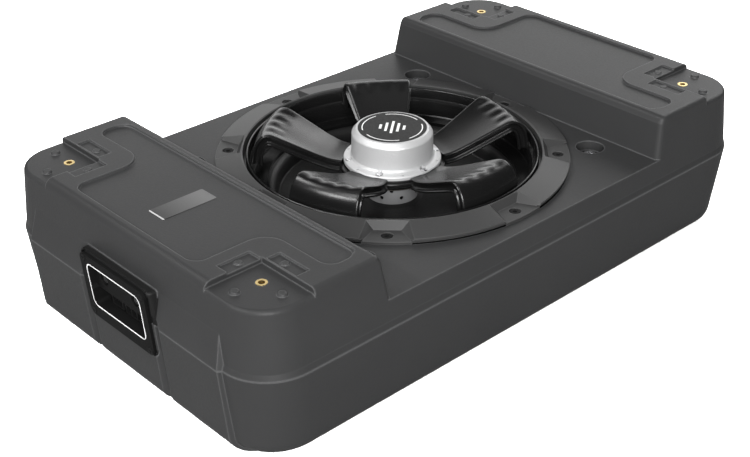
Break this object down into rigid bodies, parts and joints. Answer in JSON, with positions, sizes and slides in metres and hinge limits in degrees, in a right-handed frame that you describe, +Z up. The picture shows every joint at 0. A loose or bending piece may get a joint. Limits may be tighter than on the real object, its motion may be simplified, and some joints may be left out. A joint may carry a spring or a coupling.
{
  "type": "powered car subwoofer",
  "caption": "Low sealed under-seat subwoofer box with an inverted spoked-basket woofer between two end blocks and a built-in amplifier behind an end faceplate.",
  "frame": {"origin": "centre of the enclosure's flat base face, below the woofer's axis", "axes": "+Z up from the flat base face along the woofer's axis; +X along the length away from the amplifier's faceplate; +Y across"},
  "size_m": [0.5641, 0.3326, 0.131],
  "materials": {
    "shell_plastic": "fine moulded texture, satin",
    "ring_plastic": "smooth satin",
    "seal_foam": "closed-cell, matt",
    "zinc_screw": "zinc plated",
    "black_screw": "black oxide",
    "brass": "turned",
    "nameplate": "satin film",
    "basket_metal": "satin powder coat",
    "terminal_plastic": "smooth",
    "cast_motor": "as-cast, fine grain",
    "motor_steel": "plated",
    "ferrite": "sintered",
    "badge_film": "gloss with a printed rule",
    "former_black": "black anodised",
    "copper": "enamelled copper",
    "cone_pulp": "pressed pulp, fine ribs",
    "roll_rubber": "matt",
    "spider_cloth": "resin-treated weave",
    "faceplate_plastic": "fine moulded texture",
    "knob_plastic": "smooth",
    "pot_body": "smooth",
    "led": "diffused lens",
    "socket_plastic": "nylon",
    "tray_metal": "folded sheet",
    "sink_metal": "black anodised",
    "board": "solder mask",
    "package": "moulded epoxy",
    "can_sleeve": "shrink sleeve",
    "core": "epoxy coated iron powder",
    "cable": "PVC sleeve",
    "foam": "open-cell foam"
  },
  "bodies": {
    "enclosure": {"baffle_shell": "shell_plastic", "base_shell": "shell_plastic", "shell_gasket": "seal_foam", "shell_screws": "zinc_screw", "mount_inserts": "brass", "rating_plate": "nameplate", "trim_ring": "ring_plastic", "ring_screws": "black_screw", "flange_gasket": "seal_foam", "basket": "basket_metal", "woofer_terminals": "terminal_plastic", "lead_wires": "copper", "motor_cup": "cast_motor", "motor_screws": "zinc_screw", "isolation_plate": "terminal_plastic", "gap_plate": "motor_steel", "magnet": "ferrite", "pole_plate": "motor_steel", "motor_badge": "badge_film", "surround": "roll_rubber", "spider": "spider_cloth", "amp_faceplate": "faceplate_plastic", "faceplate_screws": "zinc_screw", "gain_pot": "pot_body", "lowpass_pot": "pot_body", "power_led": "led", "power_socket": "socket_plastic", "signal_socket": "socket_plastic", "amp_tray": "tray_metal", "tray_screws": "zinc_screw", "board_spacers": "brass", "board_screws": "zinc_screw", "amp_board": "board", "heat_sink": "sink_metal", "output_transistors": "package", "power_capacitors": "can_sleeve", "power_choke": "core", "link_cables": "cable", "woofer_cable": "cable", "damping_foam": "foam"},
    "diaphragm": {"cone": "cone_pulp", "dust_cap": "cone_pulp", "coil_former": "former_black", "coil_winding": "copper"},
    "gain_control": {"gain_trim": "knob_plastic"},
    "lowpass_control": {"lowpass_trim": "knob_plastic"}
  },
  "joints": [
    {"name": "woofer_travel", "type": "slide", "parent": "enclosure", "child": "diaphragm", "axis": [0, 0, 1], "range_m": [-0.008, 0.008], "deforming": ["surround", "spider"]},
    {"name": "gain_turn", "type": "hinge", "parent": "enclosure", "child": "gain_control", "pos_m": [-0.2807, 0.018, 0.08077], "axis": [-0.9965, 0, -0.0837], "range_deg": [-140, 140]},
    {"name": "lowpass_turn", "type": "hinge", "parent": "enclosure", "child": "lowpass_control", "pos_m": [-0.2807, -0.022, 0.08077], "axis": [-0.9965, 0, -0.0837], "range_deg": [-140, 140]}
  ]
}
